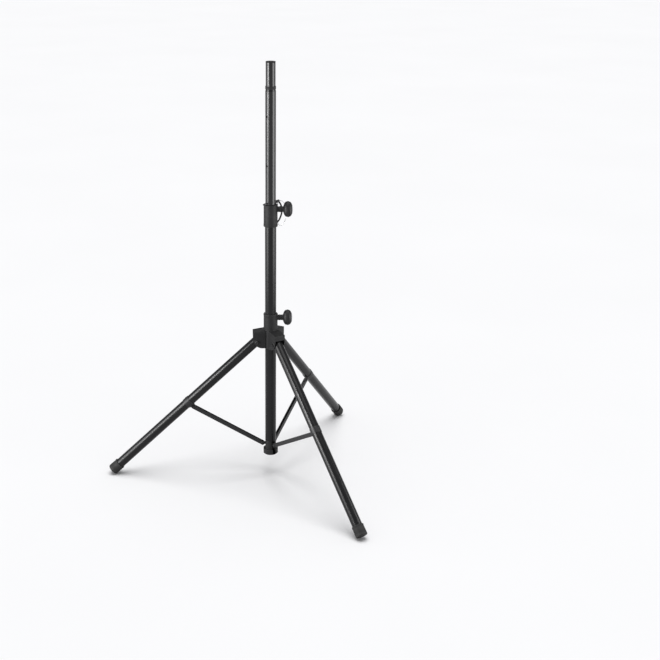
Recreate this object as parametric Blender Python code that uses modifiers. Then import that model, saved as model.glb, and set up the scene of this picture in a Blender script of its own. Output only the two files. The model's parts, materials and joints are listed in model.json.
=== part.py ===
"""Speaker tripod stand: a telescopic column on three folding legs, in metres, +Z up.

The origin lies on the floor, in the middle of the stand's bounding box. Each leg, brace, knob and the safety
pin hangs under an empty on its joint's axis. Most shapes are made about the column's axis, or about a joint's
axis, and an empty then puts them in place.
"""
import math

import bmesh
import bpy
from mathutils import Matrix, Vector

# Layout: the column's axis stands behind the middle of the bounding box, because two legs point backwards.
COLUMN_Y = 0.1485
LEG_ANGLES = {"front": -90.0, "right": 30.0, "left": 150.0}
KNOB_ANGLE = -30.0
PIN_ANGLE = 15.0
TETHER_EYE_ANGLE = 80.0
LEG_TILT = math.radians(46.6)
GAP = 0.0003

# Mast: the sliding upper tube, with a reduced spigot for the speaker's socket.
MAST_RADIUS = 0.01905
MAST_BORE = 0.01745
MAST_BOTTOM = 0.500
SPIGOT_RADIUS = 0.0175
SPIGOT_BORE = 0.0159
SHOULDER_HEIGHT = 1.470
STAND_HEIGHT = 1.575
CAP_THICKNESS = 0.003
CAP_PLUG_LENGTH = 0.022
CAP_PLUG_WALL = 0.002
SPIGOT_RING_RADIUS = 0.0189
SPIGOT_RING_LENGTH = 0.011
SPIGOT_RING_STEP = 0.008
GUIDE_LENGTH = 0.010
GUIDE_PLUG_LENGTH = 0.015
GUIDE_WALL = 0.0025
PIN_HEIGHT = 1.067
HEIGHT_HOLE_RADIUS = 0.0037
HEIGHT_HOLES = (PIN_HEIGHT, 1.205, 1.382)

# Main tube and its collar.
TUBE_RADIUS = 0.02065
TUBE_BORE = 0.01945
TUBE_BOTTOM = 0.1343
TUBE_TOP = 1.058
COLLAR_BOTTOM = 0.981
COLLAR_TOP = 1.063
COLLAR_RADIUS = 0.0252
COLLAR_BORE = TUBE_RADIUS + GAP
COLLAR_LIP_BORE = MAST_RADIUS + GAP
EDGE_ROUNDING = 0.001
UPPER_KNOB_HEIGHT = 1.044
LOWER_KNOB_HEIGHT = 0.630

# Clamp knobs: an oval grip on a neck, and the screw that it turns. A fullness of 1 makes an ellipsoid.
BOSS_RADIUS = 0.0105
BOSS_END = 0.037
SCREW_RADIUS = 0.005
SCREW_BORE = SCREW_RADIUS + GAP
PAD_THICKNESS = 0.003
NECK_RADIUS = 0.0098
GRIP_START = 0.045
GRIP_END = 0.080
GRIP_HALF_LENGTH = 0.029
GRIP_HALF_HEIGHT = 0.021
GRIP_TILT = math.radians(75.0)
GRIP_FULLNESS = 0.8

# Hub: the sleeve that slides on the main tube, with a housing for each leg.
HUB_BOTTOM = 0.515
SLEEVE_BOTTOM = HUB_BOTTOM - 0.002
HUB_SHOULDER = 0.585
HUB_TOP = 0.647
HUB_RADIUS = 0.0259
HUB_BORE = 0.0229
BUSH_BORE = TUBE_RADIUS + GAP
HOUSING_REACH = 0.067
HOUSING_HALF_WIDTH = 0.0215
HOUSING_TOP = 0.577
HOUSING_ROOF = 0.571
HOUSING_ARC_CENTRE = (0.030, 0.551)
HOUSING_ARC_RADIUS = 0.036
CHANNEL_HALF_WIDTH = 0.0189
CHANNEL_START = 0.0275
CHANNEL_END = 0.064
END_WALL_BOTTOM = 0.557

# Legs, measured down the leg from its pivot.
PIVOT_RADIUS = 0.051
LEG_LENGTH = 0.7645
LEG_RADIUS = 0.01825
LEG_BORE = 0.01675
LEG_HEAD = 0.008
FOOT_RADIUS = 0.02125
FOOT_LENGTH = 0.040
FOOT_ROUNDING = 0.003
PIVOT_HEIGHT = (
    (LEG_LENGTH - FOOT_ROUNDING) * math.cos(LEG_TILT)
    + (FOOT_RADIUS - FOOT_ROUNDING) * math.sin(LEG_TILT)
    + FOOT_ROUNDING
)
BOLT_RADIUS = 0.004
BOLT_BORE = BOLT_RADIUS + GAP
BOLT_HEAD_RADIUS = 0.0065
BOLT_HEAD_HEIGHT = 0.0045
BOLT_TAIL = 0.007
NUT_HEIGHT = 0.0055
PLUG_LENGTH = 0.028

# Leg clamps and braces.
CLAMP_DISTANCE = 0.357
CLAMP_HALF_LENGTH = 0.012
CLAMP_RADIUS = 0.0197
LUG_OFFSET = 0.029
CLAMP_LUG_ROUNDING = 0.007
LUG_HALF_THICKNESS = 0.003
RIVET_RADIUS = 0.0029
RIVET_BORE = RIVET_RADIUS + GAP
RIVET_HEAD_RADIUS = 0.005
RIVET_HEAD_HEIGHT = 0.002
BRACE_HALF_DEPTH = 0.00785
BRACE_HALF_WIDTH = 0.0055
BRACE_WALL = 0.0012
BRACE_WEB_START = 0.028
BRACE_WEB_MARGIN = 0.004
OPEN_HOLE_RADIUS = 0.0044

# Bottom bracket: the casting in the main tube's lower end.
BRACKET_BOTTOM = 0.0795
BRACKET_FLANGE_TOP = 0.102
BRACKET_FLANGE_RADIUS = 0.028
BRACKET_TOP = TUBE_BOTTOM - GAP
BRACKET_PLUG_TOP = 0.165
SLOT_HALF_WIDTH = 0.0063
SLOT_START = 0.0095
BRACE_PIN_RADIUS = 0.031
BRACE_PIN_HEIGHT = 0.122
BRACE_PIN_HALF_LENGTH = 0.004
BRACKET_LUG_ROUNDING = 0.005

# Safety pin, its wire bail and its tether.
PIN_RADIUS = 0.003
PIN_HEAD_RADIUS = 0.0055
PIN_HEAD_START = 0.0262
PIN_HEAD_END = 0.044
PIN_TIP = -0.040
BAIL_RADIUS = 0.0011
TETHER_RADIUS = 0.0024
TETHER_RIVET_RADIUS = 0.0020
TETHER_RIVET_HEAD_RADIUS = 0.0042
TETHER_RIVET_HEAD_END = 0.0272
TETHER_RIVET_RISE = 0.007

LOOKS = {
    "mast_paint": ((0.020, 0.020, 0.022), 0.28, 0.0),
    "tube_paint": ((0.022, 0.022, 0.024), 0.42, 0.0),
    "black_plastic": ((0.030, 0.030, 0.032), 0.55, 0.0),
    "black_rubber": ((0.022, 0.022, 0.022), 0.80, 0.0),
    "black_steel": ((0.025, 0.025, 0.027), 0.40, 0.0),
    "bright_steel": ((0.55, 0.56, 0.58), 0.25, 1.0),
    "nylon": ((0.12, 0.12, 0.12), 0.50, 0.0),
    "tether_rubber": ((0.015, 0.015, 0.015), 0.60, 0.0),
}


def clear_scene():
    for obj in list(bpy.data.objects):
        bpy.data.objects.remove(obj, do_unlink=True)


def material(name):
    colour, roughness, metallic = LOOKS[name]
    made = bpy.data.materials.new(name)
    made.use_nodes = True
    shader = made.node_tree.nodes["Principled BSDF"]
    shader.inputs["Base Color"].default_value = (*colour, 1.0)
    shader.inputs["Roughness"].default_value = roughness
    shader.inputs["Metallic"].default_value = metallic
    return made


def evaluated_copy(obj):
    """The object's mesh as its modifiers leave it; the object itself is removed."""
    bpy.context.view_layer.update()
    depsgraph = bpy.context.evaluated_depsgraph_get()
    mesh = bpy.data.meshes.new_from_object(obj.evaluated_get(depsgraph))
    bpy.data.objects.remove(obj, do_unlink=True)
    return mesh


def temporary_object(data):
    obj = bpy.data.objects.new("shape", data)
    bpy.context.scene.collection.objects.link(obj)
    return obj


def mesh_from(bm):
    mesh = bpy.data.meshes.new("shape")
    bm.to_mesh(mesh)
    bm.free()
    return mesh


def moved(mesh, matrix):
    mesh.transform(matrix)
    return mesh


def welded(mesh):
    bm = bmesh.new()
    bm.from_mesh(mesh)
    bmesh.ops.remove_doubles(bm, verts=bm.verts, dist=1e-6)
    bm.to_mesh(mesh)
    bm.free()
    return mesh


def turned(profile, steps=24):
    """A solid of revolution about Z.

    The profile's (radius, height) points run down the outer side, then back up the bore or along the axis.
    """
    bm = bmesh.new()
    points = [bm.verts.new((radius, 0.0, height)) for radius, height in profile]
    for start, end in zip(points, points[1:]):
        bm.edges.new((start, end))
    if profile[0][0] > 0.0:
        bm.edges.new((points[-1], points[0]))
    obj = temporary_object(mesh_from(bm))
    screw = obj.modifiers.new("turn", "SCREW")
    screw.steps = steps
    screw.render_steps = steps
    screw.use_merge_vertices = True
    screw.merge_threshold = 1e-5
    return welded(evaluated_copy(obj))


def ring(outer, bore, bottom, top, steps=24):
    return turned([(outer, top), (outer, bottom), (bore, bottom), (bore, top)], steps)


def cylinder(radius, start, end, steps=16):
    """A round bar between two points."""
    axis = Vector(end) - Vector(start)
    middle = (Vector(end) + Vector(start)) / 2.0
    bm = bmesh.new()
    bmesh.ops.create_cone(
        bm, cap_ends=True, segments=steps, radius1=radius, radius2=radius, depth=axis.length,
    )
    turn = axis.to_track_quat("Z", "Y").to_matrix().to_4x4()
    bmesh.ops.transform(bm, matrix=Matrix.Translation(middle) @ turn, verts=bm.verts)
    return mesh_from(bm)


def block(low, high):
    low = Vector(low)
    high = Vector(high)
    bm = bmesh.new()
    size = Matrix.Diagonal((*(high - low), 1.0))
    bmesh.ops.create_cube(bm, size=1.0, matrix=Matrix.Translation((low + high) / 2.0) @ size)
    return mesh_from(bm)


def plate(outline, half_thickness):
    """A flat plate in the XZ plane, from a closed outline of (x, z) points."""
    curve = bpy.data.curves.new("outline", "CURVE")
    curve.dimensions = "2D"
    curve.fill_mode = "BOTH"
    curve.extrude = half_thickness
    spline = curve.splines.new("POLY")
    spline.points.add(len(outline) - 1)
    for point, (x, z) in zip(spline.points, outline):
        point.co = (x, z, 0.0, 1.0)
    spline.use_cyclic_u = True
    mesh = welded(evaluated_copy(temporary_object(curve)))
    bpy.data.curves.remove(curve)
    return moved(mesh, Matrix.Rotation(math.radians(90.0), 4, "X"))


def wire(points, radius, resolution=2):
    """A bent wire with flat ends along a smooth curve through the points."""
    curve = bpy.data.curves.new("route", "CURVE")
    curve.dimensions = "3D"
    curve.bevel_depth = radius
    curve.bevel_resolution = resolution
    curve.use_fill_caps = True
    spline = curve.splines.new("POLY")
    spline.points.add(len(points) - 1)
    for point, place in zip(spline.points, points):
        point.co = (*place, 1.0)
    mesh = welded(evaluated_copy(temporary_object(curve)))
    bpy.data.curves.remove(curve)
    return mesh


def boolean(mesh, tools, operation):
    obj = temporary_object(mesh)
    cutters = [temporary_object(tool) for tool in tools]
    for cutter in cutters:
        modifier = obj.modifiers.new("boolean", "BOOLEAN")
        modifier.operation = operation
        modifier.solver = "EXACT"
        modifier.object = cutter
    result = evaluated_copy(obj)
    for cutter in cutters:
        bpy.data.objects.remove(cutter, do_unlink=True)
    return welded(result)


def cut(mesh, *tools):
    return boolean(mesh, tools, "DIFFERENCE")


def joined(mesh, *others):
    return boolean(mesh, others, "UNION")


def arc(centre, radius, start, end, steps):
    """Points (x, z) on an arc, with its angles in degrees from +X towards +Z."""
    angles = [math.radians(start + (end - start) * step / steps) for step in range(steps + 1)]
    return [(centre[0] + radius * math.cos(a), centre[1] + radius * math.sin(a)) for a in angles]


def smooth_route(points, steps):
    """A Catmull-Rom curve through the points."""
    places = [Vector(point) for point in points]
    places = [2 * places[0] - places[1]] + places + [2 * places[-1] - places[-2]]
    route = []
    for index in range(1, len(places) - 2):
        before, start, end, after = places[index - 1:index + 3]
        for step in range(steps):
            t = step / steps
            route.append(0.5 * (
                2 * start + (end - before) * t + (2 * before - 5 * start + 4 * end - after) * t * t
                + (3 * start - before - 3 * end + after) * t * t * t
            ))
    return route + [places[-2]]


def about_z(degrees):
    return Matrix.Rotation(math.radians(degrees), 4, "Z")


class Stand:
    """The collection of parts, with the materials and the empties that hold them."""

    def __init__(self):
        self.collection = bpy.data.collections.new("speaker_tripod_stand")
        bpy.context.scene.collection.children.link(self.collection)
        self.materials = {name: material(name) for name in LOOKS}

    def empty(self, name, parent=None, place=(0.0, 0.0, 0.0), turn_y=0.0, turn_z=0.0):
        obj = bpy.data.objects.new(name, None)
        obj.empty_display_size = 0.05
        obj.parent = parent
        obj.location = place
        obj.rotation_euler = (0.0, turn_y, turn_z)
        self.collection.objects.link(obj)
        return obj

    def part(self, name, mesh, look, parent):
        data = mesh.copy() if mesh.users else mesh
        data.name = name
        data.materials.clear()
        data.materials.append(self.materials[look])
        data.shade_smooth()
        data.set_sharp_from_angle(angle=math.radians(35.0))
        obj = bpy.data.objects.new(name, data)
        obj.parent = parent
        self.collection.objects.link(obj)
        return obj


def add_mast(stand, column):
    tube = turned([
        (SPIGOT_RADIUS, STAND_HEIGHT - CAP_THICKNESS), (SPIGOT_RADIUS, SHOULDER_HEIGHT + 0.0015),
        (MAST_RADIUS, SHOULDER_HEIGHT - 0.002), (MAST_RADIUS, MAST_BOTTOM),
        (MAST_BORE, MAST_BOTTOM), (MAST_BORE, SHOULDER_HEIGHT - 0.004),
        (SPIGOT_BORE, SHOULDER_HEIGHT), (SPIGOT_BORE, STAND_HEIGHT - CAP_THICKNESS),
    ])
    reach = Vector((MAST_RADIUS + 0.002, 0.0, 0.0))
    holes = []
    for height in HEIGHT_HOLES:
        centre = Vector((0.0, 0.0, height))
        hole = cylinder(HEIGHT_HOLE_RADIUS, centre - reach, centre + reach, 12)
        holes.append(moved(hole, about_z(PIN_ANGLE)))
    stand.part("mast_tube", cut(tube, *holes), "mast_paint", column)

    ring_bottom = SHOULDER_HEIGHT + SPIGOT_RING_STEP
    spigot_ring = ring(SPIGOT_RING_RADIUS, SPIGOT_RADIUS + GAP, ring_bottom, ring_bottom + SPIGOT_RING_LENGTH)
    stand.part("spigot_ring", spigot_ring, "black_plastic", column)

    cap_plug = SPIGOT_BORE - GAP
    cap_bore = cap_plug - CAP_PLUG_WALL
    rim_bottom = STAND_HEIGHT - CAP_THICKNESS + GAP
    plug_bottom = rim_bottom - CAP_PLUG_LENGTH
    cap = turned([
        (0.0, STAND_HEIGHT), (SPIGOT_RADIUS - 0.0006, STAND_HEIGHT), (SPIGOT_RADIUS, STAND_HEIGHT - 0.0006),
        (SPIGOT_RADIUS, rim_bottom), (cap_plug, rim_bottom), (cap_plug, plug_bottom),
        (cap_bore, plug_bottom), (cap_bore, rim_bottom), (0.0, rim_bottom),
    ])
    stand.part("mast_top_cap", cap, "black_plastic", column)

    plug = MAST_BORE - GAP
    bush_bore = plug - GUIDE_WALL
    low = MAST_BOTTOM - GUIDE_LENGTH
    high = MAST_BOTTOM + GUIDE_PLUG_LENGTH
    bush = turned([
        (plug, high), (plug, MAST_BOTTOM - GAP), (TUBE_BORE - GAP, MAST_BOTTOM - GAP),
        (TUBE_BORE - GAP, low), (bush_bore, low), (bush_bore, high),
    ])
    stand.part("mast_guide_bush", bush, "nylon", column)


def knob_side(mesh):
    return moved(mesh, about_z(KNOB_ANGLE))


def add_main_tube(stand, column):
    tube = ring(TUBE_RADIUS, TUBE_BORE, TUBE_BOTTOM, TUBE_TOP)
    start = (TUBE_BORE - 0.004, 0.0, UPPER_KNOB_HEIGHT)
    end = (TUBE_RADIUS + 0.002, 0.0, UPPER_KNOB_HEIGHT)
    screw_hole = knob_side(cylinder(SCREW_BORE, start, end))
    stand.part("main_tube", cut(tube, screw_hole), "tube_paint", column)


def knob_boss(bore, height):
    """The round boss that a clamp screw runs in, from just outside the bore."""
    inside = bore + 0.001
    return knob_side(cylinder(BOSS_RADIUS, (inside, 0.0, height), (BOSS_END, 0.0, height)))


def screw_hole(height):
    return knob_side(cylinder(SCREW_BORE, (0.0, 0.0, height), (BOSS_END + 0.002, 0.0, height)))


def add_upper_collar(stand, column):
    edge = COLLAR_RADIUS - EDGE_ROUNDING
    sleeve = turned([
        (edge, COLLAR_TOP), (COLLAR_RADIUS, COLLAR_TOP - EDGE_ROUNDING),
        (COLLAR_RADIUS, COLLAR_BOTTOM + EDGE_ROUNDING), (edge, COLLAR_BOTTOM),
        (COLLAR_BORE, COLLAR_BOTTOM), (COLLAR_BORE, TUBE_TOP + GAP),
        (COLLAR_LIP_BORE, TUBE_TOP + GAP), (COLLAR_LIP_BORE, COLLAR_TOP),
    ])
    rivet_height = COLLAR_BOTTOM + TETHER_RIVET_RISE
    rivet_start = (TUBE_RADIUS + 2 * GAP, 0.0, rivet_height)
    rivet_hole = cylinder(TETHER_RIVET_RADIUS + GAP, (0.0, 0.0, rivet_height), (0.030, 0.0, rivet_height), 16)
    collar = joined(sleeve, knob_boss(COLLAR_BORE, UPPER_KNOB_HEIGHT))
    collar = cut(collar, screw_hole(UPPER_KNOB_HEIGHT), moved(rivet_hole, about_z(TETHER_EYE_ANGLE)))
    stand.part("upper_collar", collar, "black_plastic", column)

    rivet_end = (TETHER_RIVET_HEAD_END - 0.0007, 0.0, rivet_height)
    shank = cylinder(TETHER_RIVET_RADIUS, rivet_start, rivet_end, 16)
    head_start = (COLLAR_RADIUS + GAP, 0.0, rivet_height)
    head = cylinder(TETHER_RIVET_HEAD_RADIUS, head_start, (TETHER_RIVET_HEAD_END, 0.0, rivet_height))
    rivet = moved(joined(shank, head), about_z(TETHER_EYE_ANGLE))
    stand.part("tether_rivet", rivet, "bright_steel", column)


def knob_grip():
    """An oval grip with a rounded edge, along +X, with its neck and a blind socket for the screw."""
    half_depth = (GRIP_END - GRIP_START) / 2.0
    bm = bmesh.new()
    bmesh.ops.create_uvsphere(bm, u_segments=20, v_segments=10, radius=1.0)
    for vert in bm.verts:
        edge = math.hypot(vert.co.x, vert.co.y)
        fullness = max(edge, 1e-6) ** GRIP_FULLNESS
        flat = abs(vert.co.z) ** GRIP_FULLNESS
        vert.co.x *= GRIP_HALF_LENGTH * fullness / max(edge, 1e-6)
        vert.co.y *= GRIP_HALF_HEIGHT * fullness / max(edge, 1e-6)
        vert.co.z = math.copysign(half_depth * flat, vert.co.z)
    grip = mesh_from(bm)
    lay = Matrix.Rotation(math.radians(90.0), 4, "Z") @ Matrix.Rotation(math.radians(90.0), 4, "X")
    grip = moved(grip, Matrix.Translation((GRIP_START + half_depth, 0.0, 0.0)) @ lay)
    neck = cylinder(NECK_RADIUS, (BOSS_END + GAP, 0.0, 0.0), (GRIP_START + half_depth, 0.0, 0.0))
    socket = cylinder(SCREW_BORE, (BOSS_END - 0.002, 0.0, 0.0), (GRIP_START + half_depth, 0.0, 0.0))
    return cut(joined(grip, neck), socket)


def add_knob(stand, column, name, height, tip):
    """A clamp knob with its screw and nylon pad; tip is the radius of the tube that the pad bears on."""
    pivot = stand.empty(name + "_axis", column, (0.0, 0.0, height), 0.0, math.radians(KNOB_ANGLE))
    grip = moved(knob_grip(), Matrix.Rotation(GRIP_TILT, 4, "X"))
    stand.part(name, grip, "black_plastic", pivot)
    pad_start = tip + GAP
    pad_end = pad_start + PAD_THICKNESS
    screw_end = (GRIP_START + GRIP_END) / 2.0 - GAP
    screw = cylinder(SCREW_RADIUS, (pad_end + GAP, 0.0, 0.0), (screw_end, 0.0, 0.0))
    stand.part(name + "_screw", screw, "bright_steel", pivot)
    pad = cylinder(SCREW_RADIUS, (pad_start, 0.0, 0.0), (pad_end, 0.0, 0.0))
    stand.part(name + "_pad", pad, "nylon", pivot)


def housing_outline():
    """The side wall of a leg housing, as (x, z): its outer lower corner is a quarter circle."""
    corner = arc(HOUSING_ARC_CENTRE, HOUSING_ARC_RADIUS, -90.0, 0.0, 8)
    inside = HUB_RADIUS - 0.008
    return [(inside, HUB_BOTTOM), *corner, (HOUSING_REACH, HOUSING_TOP), (inside, HUB_SHOULDER)]


def hub_housing(angle):
    return moved(plate(housing_outline(), HOUSING_HALF_WIDTH), about_z(angle))


def hub_channel(angle):
    """The space inside a housing that the leg swings in, with the cut in the end wall."""
    width = CHANNEL_HALF_WIDTH
    inside = block((CHANNEL_START, -width, HUB_BOTTOM - 0.005), (CHANNEL_END, width, HOUSING_ROOF))
    mouth_start = (CHANNEL_END - 0.002, -width, HUB_BOTTOM - 0.005)
    mouth = block(mouth_start, (HOUSING_REACH + 0.01, width, END_WALL_BOTTOM))
    return moved(joined(inside, mouth), about_z(angle))


def bolt_hole(angle):
    start = (PIVOT_RADIUS, -HOUSING_HALF_WIDTH - 0.002, PIVOT_HEIGHT)
    end = (PIVOT_RADIUS, HOUSING_HALF_WIDTH + 0.002, PIVOT_HEIGHT)
    return moved(cylinder(BOLT_BORE, start, end, 16), about_z(angle))


def add_hub(stand, column):
    sleeve = turned([
        (0.0, HUB_TOP), (HUB_RADIUS - EDGE_ROUNDING, HUB_TOP), (HUB_RADIUS, HUB_TOP - EDGE_ROUNDING),
        (HUB_RADIUS, SLEEVE_BOTTOM + EDGE_ROUNDING), (HUB_RADIUS - EDGE_ROUNDING, SLEEVE_BOTTOM),
        (0.0, SLEEVE_BOTTOM),
    ], 32)
    housings = [hub_housing(angle) for angle in LEG_ANGLES.values()]
    hub = joined(sleeve, *housings, knob_boss(HUB_BORE, LOWER_KNOB_HEIGHT))
    bore = cylinder(HUB_BORE, (0.0, 0.0, HUB_BOTTOM - 0.01), (0.0, 0.0, HUB_TOP + 0.01), 32)
    channels = [hub_channel(angle) for angle in LEG_ANGLES.values()]
    holes = [bolt_hole(angle) for angle in LEG_ANGLES.values()]
    hub = cut(hub, bore, *channels, screw_hole(LOWER_KNOB_HEIGHT), *holes)
    stand.part("hub", hub, "black_plastic", column)

    bush = ring(HUB_BORE - GAP, BUSH_BORE, HUB_BOTTOM + 0.001, HUB_TOP - 0.001, steps=32)
    stand.part("hub_bush", cut(bush, screw_hole(LOWER_KNOB_HEIGHT)), "nylon", column)


def add_pivot_bolt(stand, column, leg, angle):
    wall = HOUSING_HALF_WIDTH + GAP
    centre = Vector((PIVOT_RADIUS, 0.0, PIVOT_HEIGHT))

    def across(distance):
        return centre + Vector((0.0, distance, 0.0))

    shank = cylinder(BOLT_RADIUS, across(-wall - BOLT_TAIL), across(wall + 0.001), 16)
    head = cylinder(BOLT_HEAD_RADIUS, across(wall), across(wall + BOLT_HEAD_HEIGHT), 16)
    bolt = moved(joined(shank, head), about_z(angle))
    stand.part(leg + "_pivot_bolt", bolt, "black_steel", column)
    body = cylinder(BOLT_HEAD_RADIUS, across(-wall - NUT_HEIGHT), across(-wall), 6)
    hole = cylinder(BOLT_BORE, across(-wall - 0.010), across(-wall + 0.005), 16)
    nut = moved(cut(body, hole), about_z(angle))
    stand.part(leg + "_pivot_nut", nut, "black_steel", column)


def add_leg(stand, column, leg, angle):
    """A leg in its own frame: the pivot at the origin, the leg along -Z and the column on the -X side."""
    place = about_z(angle) @ Vector((PIVOT_RADIUS, 0.0, PIVOT_HEIGHT))
    pivot = stand.empty(leg + "_leg_axis", column, place, -LEG_TILT, math.radians(angle))
    cross_hole = cylinder(BOLT_BORE, (0.0, -0.03, 0.0), (0.0, 0.03, 0.0), 16)

    tube_end = -LEG_LENGTH + 0.008
    tube = ring(LEG_RADIUS, LEG_BORE, tube_end, LEG_HEAD)
    stand.part(leg + "_leg_tube", cut(tube, cross_hole.copy()), "tube_paint", pivot)
    plug = cylinder(LEG_BORE - GAP, (0.0, 0.0, -PLUG_LENGTH), (0.0, 0.0, LEG_HEAD), 24)
    stand.part(leg + "_leg_plug", cut(plug, cross_hole), "black_plastic", pivot)

    end = -LEG_LENGTH
    rounding = [
        (FOOT_RADIUS - FOOT_ROUNDING + x, end + FOOT_ROUNDING + z)
        for x, z in arc((0.0, 0.0), FOOT_ROUNDING, 0.0, -90.0, 3)
    ]
    foot = turned([
        (FOOT_RADIUS - 0.0015, end + FOOT_LENGTH), (FOOT_RADIUS, end + FOOT_LENGTH - 0.002), *rounding,
        (0.0, end), (0.0, tube_end - GAP), (LEG_RADIUS + GAP, tube_end - GAP),
        (LEG_RADIUS + GAP, end + FOOT_LENGTH),
    ])
    stand.part(leg + "_foot_cap", foot, "black_rubber", pivot)
    add_leg_clamp(stand, pivot, leg)
    add_brace(stand, pivot, leg)


def add_leg_clamp(stand, pivot, leg):
    centre = -CLAMP_DISTANCE
    bottom = (0.0, 0.0, centre - CLAMP_HALF_LENGTH)
    band = cylinder(CLAMP_RADIUS, bottom, (0.0, 0.0, centre + CLAMP_HALF_LENGTH), 24)
    tip = arc((-LUG_OFFSET, centre), CLAMP_LUG_ROUNDING, 90.0, 270.0, 6)
    lug = plate([(-LEG_RADIUS, centre - 0.010), (-LEG_RADIUS, centre + 0.010), *tip], LUG_HALF_THICKNESS)
    bore = cylinder(LEG_RADIUS + GAP, (0.0, 0.0, centre - 0.02), (0.0, 0.0, centre + 0.02), 24)
    hole = cylinder(RIVET_BORE, (-LUG_OFFSET, -0.01, centre), (-LUG_OFFSET, 0.01, centre), 12)
    stand.part(leg + "_leg_clamp", cut(joined(band, lug), bore, hole), "black_steel", pivot)

    def across(distance):
        return (-LUG_OFFSET, distance, centre)

    flange = BRACE_HALF_WIDTH + GAP
    shank = cylinder(RIVET_RADIUS, across(-flange - 0.001), across(flange + 0.001), 12)
    heads = [
        cylinder(RIVET_HEAD_RADIUS, across(side * flange), across(side * (flange + RIVET_HEAD_HEIGHT)), 12)
        for side in (-1.0, 1.0)
    ]
    stand.part(leg + "_brace_rivet", joined(shank, *heads), "black_steel", pivot)


def brace_place():
    """Where the brace hangs on the leg, in the leg's frame, with its tilt there and its length."""
    joint = Vector((
        PIVOT_RADIUS + CLAMP_DISTANCE * math.sin(LEG_TILT) - LUG_OFFSET * math.cos(LEG_TILT),
        PIVOT_HEIGHT - CLAMP_DISTANCE * math.cos(LEG_TILT) - LUG_OFFSET * math.sin(LEG_TILT),
    ))
    reach = Vector((BRACE_PIN_RADIUS, BRACE_PIN_HEIGHT)) - joint
    tilt = math.atan2(reach.x, -reach.y)
    return tilt, reach.length


def add_brace(stand, pivot, leg):
    """A U-channel in its own frame: the leg's rivet at the origin, the bracket's pin below, the web at +X."""
    tilt, length = brace_place()
    turn = LEG_TILT - tilt
    joint = stand.empty(leg + "_brace_axis", pivot, (-LUG_OFFSET, 0.0, -CLAMP_DISTANCE), turn, 0.0)
    half = BRACE_HALF_DEPTH
    inner = BRACE_HALF_WIDTH - BRACE_WALL
    outline = arc((0.0, 0.0), half, 180.0, 0.0, 6) + arc((0.0, -length), half, 0.0, -180.0, 6)
    channel = plate(outline, BRACE_HALF_WIDTH)
    hollow = block((-half - 0.001, -inner, -length - 0.02), (half - BRACE_WALL, inner, 0.02))
    top_end = block((0.0, -inner, -BRACE_WEB_START), (half + 0.001, inner, 0.02))
    low_end = block((0.0, -inner, -length - 0.02), (half + 0.001, inner, -length + BRACE_WEB_MARGIN))
    holes = [
        cylinder(radius, (0.0, -0.01, height), (0.0, 0.01, height), 12)
        for radius, height in ((RIVET_BORE, 0.0), (OPEN_HOLE_RADIUS, -length))
    ]
    stand.part(leg + "_brace", cut(channel, hollow, top_end, low_end, *holes), "black_steel", joint)


def bracket_slot(angle):
    slot = block(
        (SLOT_START, -SLOT_HALF_WIDTH, BRACKET_BOTTOM - 0.002),
        (0.040, SLOT_HALF_WIDTH, BRACKET_TOP + 0.0001),
    )
    return moved(slot, about_z(angle))


def bracket_lug(angle):
    tip = arc((BRACE_PIN_RADIUS, BRACE_PIN_HEIGHT), BRACKET_LUG_ROUNDING, -90.0, 90.0, 6)
    inside = SLOT_START - 0.002
    low = BRACE_PIN_HEIGHT - BRACKET_LUG_ROUNDING
    high = BRACE_PIN_HEIGHT + BRACKET_LUG_ROUNDING
    return moved(plate([(inside, low), *tip, (inside, high)], LUG_HALF_THICKNESS), about_z(angle))


def brace_pin_bar(radius, half_length, angle):
    start = (BRACE_PIN_RADIUS, -half_length, BRACE_PIN_HEIGHT)
    end = (BRACE_PIN_RADIUS, half_length, BRACE_PIN_HEIGHT)
    return moved(cylinder(radius, start, end, 12), about_z(angle))


def add_bottom_bracket(stand, column):
    plug = TUBE_BORE - GAP
    casting = turned([
        (0.0, BRACKET_PLUG_TOP), (plug - EDGE_ROUNDING, BRACKET_PLUG_TOP),
        (plug, BRACKET_PLUG_TOP - EDGE_ROUNDING),
        (plug, BRACKET_TOP), (TUBE_RADIUS, BRACKET_TOP), (TUBE_RADIUS, BRACKET_FLANGE_TOP),
        (BRACKET_FLANGE_RADIUS - 0.0008, BRACKET_FLANGE_TOP),
        (BRACKET_FLANGE_RADIUS, BRACKET_FLANGE_TOP - 0.0008),
        (BRACKET_FLANGE_RADIUS, BRACKET_BOTTOM + 0.003), (BRACKET_FLANGE_RADIUS - 0.003, BRACKET_BOTTOM),
        (0.0, BRACKET_BOTTOM),
    ])
    slots = [bracket_slot(angle) for angle in LEG_ANGLES.values()]
    lugs = [bracket_lug(angle) for angle in LEG_ANGLES.values()]
    holes = [brace_pin_bar(RIVET_BORE, 0.01, angle) for angle in LEG_ANGLES.values()]
    casting = cut(joined(cut(casting, *slots), *lugs), *holes)
    stand.part("bottom_bracket", casting, "black_plastic", column)
    for leg, angle in LEG_ANGLES.items():
        bar = brace_pin_bar(RIVET_RADIUS, BRACE_PIN_HALF_LENGTH, angle)
        stand.part(leg + "_bracket_pin", bar, "black_steel", column)


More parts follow.
